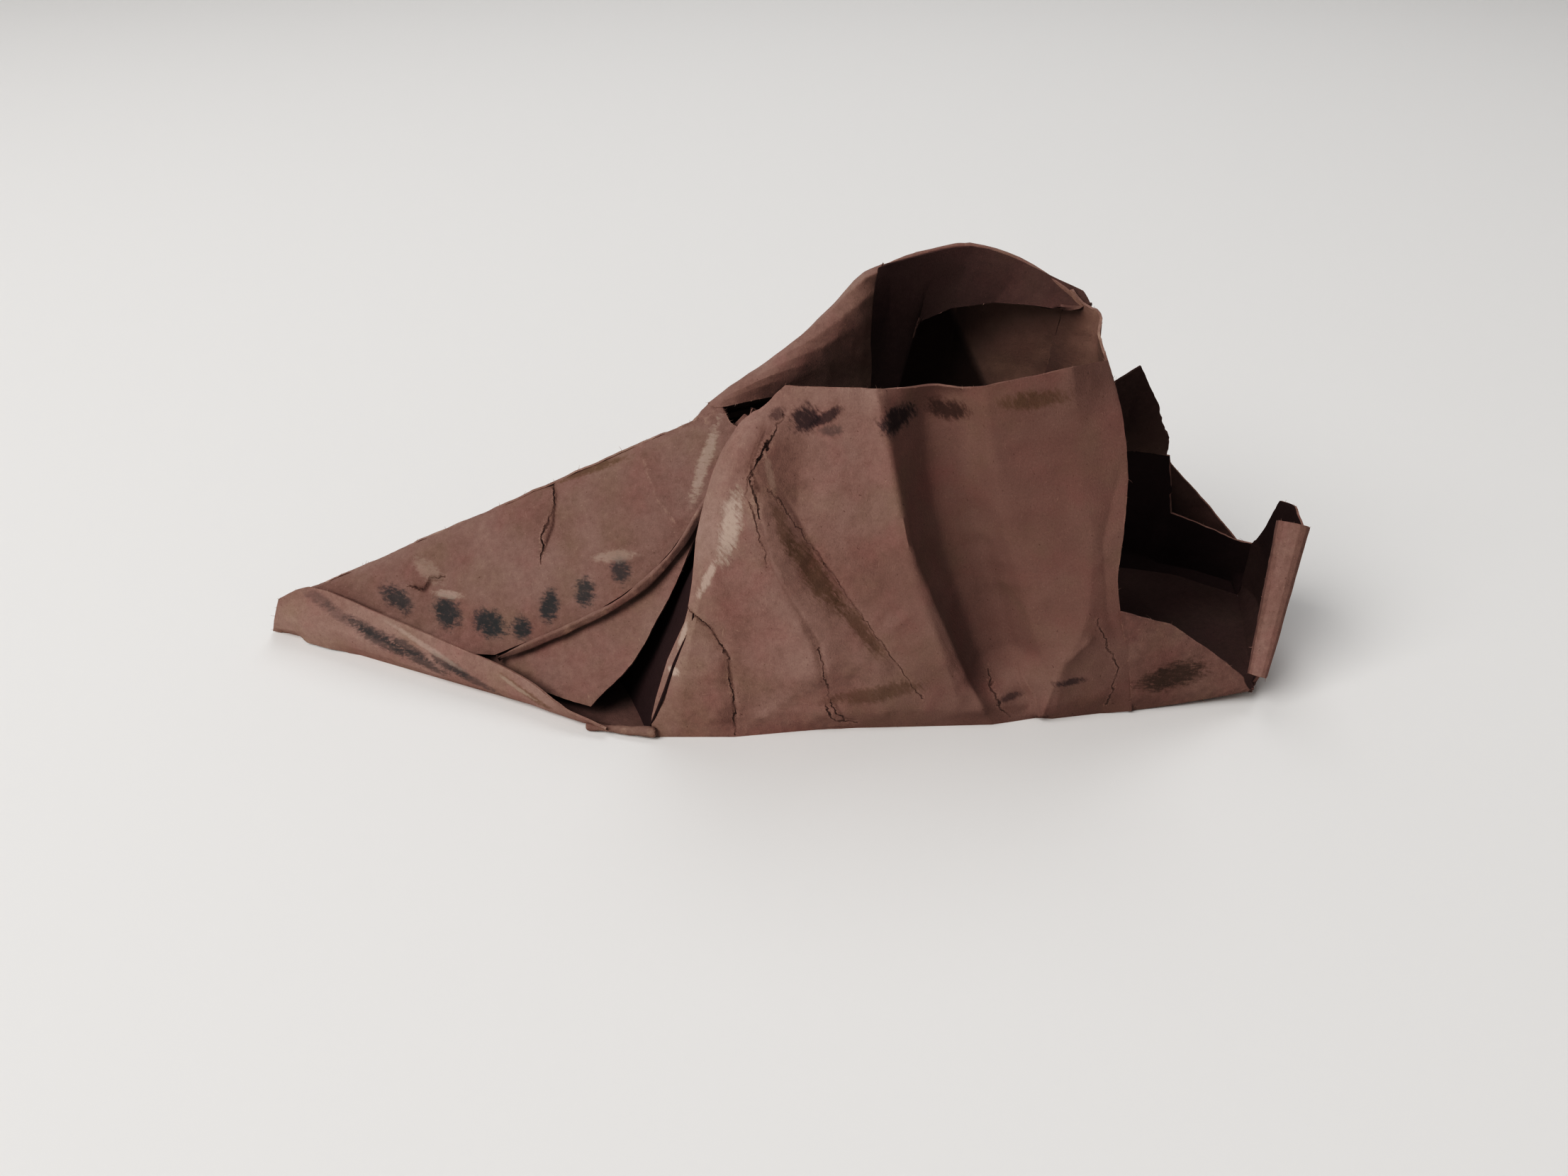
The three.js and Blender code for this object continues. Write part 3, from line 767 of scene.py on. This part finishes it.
jaw_marks = marks_on(
    JAW,
    ((0.17, 0.86), (4.0, 1.3), -10, 0.35, TEAL),
    ((0.25, 0.70), (6.0, 1.3), -12, 0.35, TEAL),
    ((0.34, 0.62), (6.0, 1.3), -14, 0.55, TEAL),
    ((0.36, 0.50), (6.5, 1.5), -14, 0.6, TEAL),
    ((0.45, 0.52), (5.0, 1.2), -14, 0.6, TEAL),
    ((0.48, 0.36), (6.5, 1.4), -14, 0.6, TEAL),
    ((0.57, 0.42), (4.5, 1.3), -15, 0.55, TEAL),
    ((0.63, 0.28), (6.0, 1.1), -18, 0.5, TEAL),
    ((0.79, 0.30), (6.0, 0.8), -22, 0.45, OLIVE),
    ((0.50, 0.62), (9.0, 0.6), -18, 0.35, CHALK),
    ((0.76, 0.36), (4.0, 0.5), -22, 0.4, CHALK),
)
apron_marks = marks_on("tail_apron", ((0.42, 0.33), (7.0, 3.2), 8, 0.75, UMBER))

beak_cracks = [
    (on(FLAP, (0.548, 0.76), (0.585, 0.66), (0.600, 0.57), (0.575, 0.46), (0.572, 0.36)), 0.26, 0.95),
    (on(FLAP, (0.262, 0.165), (0.30, 0.17), (0.316, 0.215), (0.35, 0.23)), 0.17, 0.45),
    (on(FLAP, (0.80, 0.985), (0.83, 0.93)), 0.25, 0.7),
]
front_cracks = [
    (on(SLEEVE, (0.275, 0.89), (0.245, 0.83), (0.216, 0.77), (0.222, 0.71), (0.232, 0.65)), 0.28, 0.95),
    (on(SLEEVE, (0.216, 0.77), (0.207, 0.71), (0.226, 0.62), (0.246, 0.52)), 0.24, 0.6),
    (on(SLEEVE, (0.085, 0.375), (0.13, 0.33), (0.163, 0.25), (0.172, 0.14), (0.178, 0.0)), 0.22, 0.85),
    (on(SLEEVE, (0.345, 0.28), (0.362, 0.18), (0.372, 0.10), (0.40, 0.03)), 0.2, 0.75),
    (on(SLEEVE, (0.247, 0.72), (0.33, 0.55), (0.45, 0.31), (0.56, 0.10)), 0.16, 0.5),
    (on(SLEEVE, (0.36, 0.09), (0.385, 0.03), (0.43, 0.022)), 0.22, 0.8),
    (on(SLEEVE, (0.90, 0.34), (0.93, 0.25), (0.96, 0.17), (0.955, 0.03)), 0.22, 0.6),
    (on(SLEEVE, (0.70, 0.13), (0.725, 0.05), (0.75, 0.01)), 0.24, 0.6),
]
# the light factors below are painted light on the front and jaw, and painted shade on the flap and apron
beak_paper = brown_paper("beak_flap_paper", beak_marks, beak_cracks, light=0.95, stroke_turn=0.2)
front_paper = brown_paper("sleeve_paper", front_marks, front_cracks, light=1.17, stroke_turn=0.9)
jaw_paper = brown_paper("jaw_paper", jaw_marks, light=1.24, stroke_turn=-0.3)
apron_paper = brown_paper("apron_paper", apron_marks, light=0.93, stroke_turn=0.1)


front_folds = [
    # the deep pleat's two sides
    Fold(
        on(SLEEVE, (0.44, 1.0), (0.474, 0.785), (0.51, 0.573), (0.58, 0.358), (0.664, 0.125), (0.70, 0.02)),
        1.5, 1.8, 0.3, fade=0.07,
    ),
    Fold(
        on(SLEEVE, (0.55, 1.0), (0.585, 0.72), (0.625, 0.50), (0.68, 0.30), (0.74, 0.08)),
        -5.6, 8.5, fade=0.12, flat=True,
    ),
    Fold(on(SLEEVE, (0.754, 0.17), (0.80, 0.08), (0.814, 0.0)), 1.0, 1.8, 0.35, fade=0.1),
    Fold(on(SLEEVE, (0.814, 0.0), (0.844, 0.21), (0.90, 0.30)), 0.9, 1.8, 0.3, fade=0.1),
    Fold(
        on(SLEEVE, (0.26, 0.92), (0.215, 0.77), (0.225, 0.62), (0.28, 0.42), (0.33, 0.28), (0.36, 0.12)),
        2.0, 5.5, fade=0.12,
    ),
    # the left-hand creases
    Fold(
        on(SLEEVE, (0.227, 0.72), (0.227, 0.644), (0.249, 0.511))
        + on(SLEEVE, (0.289, 0.406), (0.346, 0.278), (0.372, 0.119)),
        -0.6, 1.4, 0.1, 0.5, 0.35,
    ),
    Fold(
        on(SLEEVE, (0.242, 0.76), (0.33, 0.55), (0.45, 0.30), (0.573, 0.092)),
        -0.45, 0.9, 0.15, 0.6, 0.25,
    ),
    Fold(on(SLEEVE, (0.25, 0.88), (0.214, 0.769), (0.235, 0.68)), -0.5, 1.0, 0.2, 0.8, 0.5),
    Fold(
        on(SLEEVE, (0.08, 0.38), (0.13, 0.33), (0.165, 0.248), (0.174, 0.13), (0.176, 0.0)),
        -0.4, 0.9, 0.2, 0.8, 0.4, fade=0.08,
    ),
    Fold(on(SLEEVE, (0.19, 0.02), (0.30, 0.14), (0.36, 0.10)), 0.35, 1.2, 0.35),
    Fold(on(SLEEVE, (0.372, 0.119), (0.40, 0.04), (0.44, 0.03)), -0.4, 0.9, 0.2, 0.6),
    Fold(on(SLEEVE, (0.36, 0.97), (0.37, 0.80), (0.40, 0.60)), 0.35, 3.0),
    Fold(on(SLEEVE, (0.62, 0.95), (0.70, 0.70), (0.78, 0.42), (0.83, 0.22)), 0.7, 5.0),
    Fold(on(SLEEVE, (0.93, 0.80), (0.90, 0.55), (0.92, 0.36), (0.97, 0.22)), -0.5, 2.5, 0.1),
]
flap_folds = [
    Fold(
        on(FLAP, (0.555, 0.72), (0.60, 0.60), (0.595, 0.50), (0.568, 0.37)),
        -0.35, 0.7, 0.15, 1.0, 0.3, fade=0.1,
    ),
    Fold(
        on(FLAP, (0.268, 0.175), (0.30, 0.17), (0.316, 0.22), (0.35, 0.23)),
        -0.3, 0.6, 0.3, 0.9, 0.2, fade=0.1,
    ),
    Fold(on(FLAP, (0.78, 0.86), (0.83, 0.66), (0.89, 0.55)), 0.35, 1.6, 0.5),
    Fold(on(FLAP, (0.10, 0.06), (0.30, 0.36), (0.52, 0.52)), 0.22, 3.0, 0.1),
]
back_folds = [
    Fold(on(BACK_PANEL, (0.05, 0.75), (0.25, 0.50), (0.42, 0.12)), -0.6, 2.2, 0.12),
    Fold(on(BACK_PANEL, (0.30, 0.95), (0.45, 0.62), (0.72, 0.30), (0.95, 0.22)), 0.6, 2.8, 0.15),
    Fold(on(BACK_PANEL, (0.62, 0.97), (0.70, 0.70), (0.66, 0.30), (0.72, 0.05)), -0.7, 2.0, 0.12),
    Fold(on(BACK_PANEL, (0.10, 0.20), (0.32, 0.28), (0.55, 0.20)), 0.45, 1.6, 0.2),
    Fold(on(BACK_PANEL, (0.80, 0.80), (0.88, 0.50), (0.86, 0.15)), -0.5, 1.6, 0.12),
]
beak_back_folds = [
    Fold(on(BEAK_BACK, (0.98, 0.60), (0.70, 0.42), (0.35, 0.22)), 0.5, 2.2, 0.12),
    Fold(on(BEAK_BACK, (0.95, 0.20), (0.72, 0.30), (0.55, 0.62)), -0.45, 1.5, 0.12),
    Fold(on(BEAK_BACK, (0.30, 0.06), (0.36, 0.18), (0.28, 0.28)), -0.3, 1.0, 0.2),
]
jaw_folds = [Fold(on(JAW, (0.05, 0.55), (0.35, 0.42), (0.7, 0.25), (0.95, 0.1)), 0.2, 1.0, 0.2)]

# ---- Panels -----------------------------------------------------------------------------------------------

FRONT, BACK, RIGHT, LEFT, UNDER = (0, -1, 0.3), (0, 1, 0.2), (1, 0, 0), (-1, 0, 0), (0, 0, -1)

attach(sheet(FLAP, FRONT, beak_paper, depth=0.45, folds=flap_folds, seed=1), "beak_flap")
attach(rounded_bar("beak_flap_hem", beak_paper, swell=-0.12, rub=0.2, taper=0.45), "beak_flap")
inner_flap_pulls = [((-30, 2.5), (0, 0, 0.7), 8)]
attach(sheet("beak_inner_flap", FRONT, depth=0.4, seed=2, pulls=inner_flap_pulls), "beak_lining")
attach(sheet(JAW, FRONT, jaw_paper, depth=0.3, folds=jaw_folds, seed=3, ragged=0.05), "jaw")
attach(sheet(BEAK_BACK, BACK, depth=0.6, folds=beak_back_folds, seed=4), "sleeve")
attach(sheet("beak_floor", UNDER, depth=0.0, seed=5, grow=0.15), "sleeve")
# painted shade on the front panel, darker towards its right-hand side
front_grime = ((-4, 40), (42, 36), 0.5)
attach(sheet(SLEEVE, FRONT, front_paper, depth=0.75, folds=front_folds, seed=6, grime=front_grime), "sleeve")
gusset_folds = [Fold(on(GUSSET, (0.0, 0.1), (0.5, 0.5), (1.0, 0.9)), -1.0, 30, fade=0.25)]
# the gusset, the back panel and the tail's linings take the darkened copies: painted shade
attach(sheet(GUSSET, LEFT, DEEP_SHADE, DEEP_SHADE, depth=0.15, folds=gusset_folds, seed=7, ragged=0.05), "sleeve")
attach(sheet(BACK_PANEL, BACK, lining=DEEP_SHADE, depth=0.8, folds=back_folds, seed=8), "sleeve")
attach(sheet("body_floor", UNDER, depth=0.0, seed=9, grow=0.15), "sleeve")
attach(sheet("tail_apron", FRONT, apron_paper, depth=0.4, seed=10), "sleeve")
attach(sheet("tail_floor", UNDER, lining=DIM_SHADE, depth=0.25, seed=11), "sleeve")
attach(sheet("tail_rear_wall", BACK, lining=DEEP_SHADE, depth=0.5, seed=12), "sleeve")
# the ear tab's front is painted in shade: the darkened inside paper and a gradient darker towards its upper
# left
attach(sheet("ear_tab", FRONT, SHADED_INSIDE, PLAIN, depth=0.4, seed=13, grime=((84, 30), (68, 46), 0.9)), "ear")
# painted shade on the tail's end wall, darker towards its top
end_grime = ((99, 6), (94, 20), 0.9)
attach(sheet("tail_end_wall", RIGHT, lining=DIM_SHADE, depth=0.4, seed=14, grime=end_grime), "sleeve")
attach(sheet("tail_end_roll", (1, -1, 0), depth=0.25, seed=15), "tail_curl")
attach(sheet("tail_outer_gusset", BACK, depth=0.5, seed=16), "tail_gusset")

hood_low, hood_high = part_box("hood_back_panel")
crease_height = hood_low[2]
hood_top = 71  # mm: how high the hood's back panel turns over into its sides
left_top, right_top = (hood_low[0] / MM, hood_top), (hood_high[0] / MM, hood_top)
# Painted shade on the hood sheets: the shoulder darker towards its lower right, the back panel sharply darker
# towards its lower left, the cheek a little darker towards its lower left; the back panel and cheek linings
# are the lit copy, painted light
for node, toward, lining, grime, pulls in (
    ("hood_shoulder", LEFT, PLAIN_WITH_SHADE, ((4, 60), (17, 47), 1.3), [(left_top, (0, 0, 2.5), 15)]),
    ("hood_back_panel", BACK, LIT_INSIDE, ((38.2, 60.4), (35, 58.7), 1.6), []),
    ("hood_cheek", RIGHT, LIT_INSIDE, ((60, 66), (54, 50), 0.4), [(right_top, (0.5, 0, -1.8), 5)]),
):
    piece = sheet(node, toward, lining=lining, depth=0.5, seed=20 + len(node), grime=grime, pulls=pulls)
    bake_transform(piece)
# painted shade on the hood's cuff, darker towards its lower left, over the darkened cuff paper
cuff_grime = ((52, 76), (22, 62), 0.9)
rim_pulls = [(left_top, (0, 0, 1.2), 9), (right_top, (2.6, 0, -2.2), 8)]
cuff_pulls = [(left_top, (0, 0, 1.2), 9), (right_top, (3.2, 0, -0.6), 9)]
cuff = {"grime": cuff_grime, "ragged": 0.03, "pulls": cuff_pulls}
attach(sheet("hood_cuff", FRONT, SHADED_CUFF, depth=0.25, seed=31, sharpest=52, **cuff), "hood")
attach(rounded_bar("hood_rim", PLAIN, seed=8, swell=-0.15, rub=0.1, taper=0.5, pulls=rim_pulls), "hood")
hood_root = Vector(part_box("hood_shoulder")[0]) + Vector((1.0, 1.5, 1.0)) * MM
root_sheets = ["hood_shoulder", FLAP, BACK_PANEL, BEAK_BACK]
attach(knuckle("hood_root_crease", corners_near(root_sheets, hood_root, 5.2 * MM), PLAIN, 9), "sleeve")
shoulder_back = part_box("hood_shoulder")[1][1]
hood_foot = Vector((hood_low[0], shoulder_back, crease_height)) + Vector((-0.6, 0.2, 0.4)) * MM
foot_sheets = ["hood_shoulder", "hood_back_panel", BACK_PANEL]
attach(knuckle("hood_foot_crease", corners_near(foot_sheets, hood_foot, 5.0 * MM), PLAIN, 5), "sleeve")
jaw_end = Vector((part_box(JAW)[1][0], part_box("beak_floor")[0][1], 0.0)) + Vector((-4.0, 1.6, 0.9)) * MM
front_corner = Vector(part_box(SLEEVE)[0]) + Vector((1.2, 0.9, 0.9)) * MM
ridge = [
    end + Vector((0, math.cos(turn), math.sin(turn))) * width * MM
    for end, width in ((jaw_end, 0.7), (front_corner, 1.0))
    for turn in (0.0, 1.05, 2.1, 3.14, 4.19, 5.24)
]
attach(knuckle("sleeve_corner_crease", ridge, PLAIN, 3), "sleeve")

fibre_counts = {
    "sleeve": 170, "hood": 60, "beak_flap": 25, "beak_lining": 30,
    "jaw": 20, "ear": 16, "tail_gusset": 24, "tail_curl": 20,
}
for body, count in fibre_counts.items():
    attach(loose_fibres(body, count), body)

# ---- Table, light and camera ------------------------------------------------------------------------------

flat_radius, bowl_radius, wall_height, bowl_steps = 2.0, 0.6, 1.2, 8
bpy.ops.object.select_all(action="DESELECT")
bpy.ops.mesh.primitive_circle_add(vertices=96, radius=flat_radius, fill_type="TRIFAN", location=(0, 0, 0))
table = bpy.context.object
table.name = "table"
bpy.ops.object.mode_set(mode="EDIT")
bpy.ops.mesh.select_all(action="DESELECT")
bpy.ops.mesh.select_non_manifold()
turn = math.radians(90 / bowl_steps)
for step in range(1, bowl_steps + 1):  # the table's edge curves up into a wall
    rise = bowl_radius * (math.cos(turn * (step - 1)) - math.cos(turn * step))
    spread = bowl_radius * (math.sin(turn * step) - math.sin(turn * (step - 1)))
    ring = flat_radius + bowl_radius * math.sin(turn * (step - 1))
    wider = (ring + spread) / ring
    bpy.ops.mesh.extrude_edges_move(TRANSFORM_OT_translate={"value": (0, 0, rise)})
    bpy.ops.transform.resize(value=(wider, wider, 1), center_override=(0, 0, 0))
bpy.ops.mesh.extrude_edges_move(TRANSFORM_OT_translate={"value": (0, 0, wall_height)})
bpy.ops.object.mode_set(mode="OBJECT")
bpy.ops.object.shade_smooth()
table_shop = Shop("pale_table")
table_shop.set("Base Color", paint(0.83, 0.815, 0.795))
table_shop.set("Roughness", 0.9)
table.data.materials.append(table_shop.material)


def soft_light(name, place, size, power, tint):
    """A square lamp, in metres and watts, that points at the puppet."""
    aim = Vector((0, 0, 0.03))
    data = bpy.data.lights.new(name, "AREA")
    data.shape, data.size, data.energy, data.color = "SQUARE", size, power, tint
    lamp = bpy.data.objects.new(name, data)
    bpy.context.scene.collection.objects.link(lamp)
    lamp.location = place
    lamp.rotation_euler = (aim - Vector(place)).to_track_quat("-Z", "Y").to_euler()
    lamp.visible_camera = False


soft_light("window", (-1.05, -0.76, 1.35), 1.2, 27.5, (1.0, 0.99, 0.98))
soft_light("ceiling", (0.15, 0.75, 1.2), 0.8, 4.5, (0.97, 0.98, 1.0))
world = bpy.data.worlds.new("room")
bpy.context.scene.world = world
world.use_nodes = True
sky = world.node_tree.nodes["Background"]
sky.inputs["Color"].default_value = (0.95, 0.97, 1.0, 1)
sky.inputs["Strength"].default_value = 0.2

shown_as = bpy.context.scene.view_settings
shown_as.view_transform = "Standard"
shown_as.use_curve_mapping = True
tone = shown_as.curve_mapping.curves[3]
for level, shown in ((0.03, 0.008), (0.07, 0.03), (0.13, 0.09), (0.22, 0.205), (0.6, 0.62)):
    tone.points.new(level, shown)
shown_as.curve_mapping.update()

camera_data = bpy.data.cameras.new("camera")
camera_data.sensor_width, camera_data.lens = 36, 27.67
camera = bpy.data.objects.new("camera", camera_data)
bpy.context.scene.collection.objects.link(camera)
camera.location = (3.6 * MM, -200 * MM, 147 * MM)
camera.rotation_euler = (math.radians(56), 0, 0)
bpy.context.scene.camera = camera
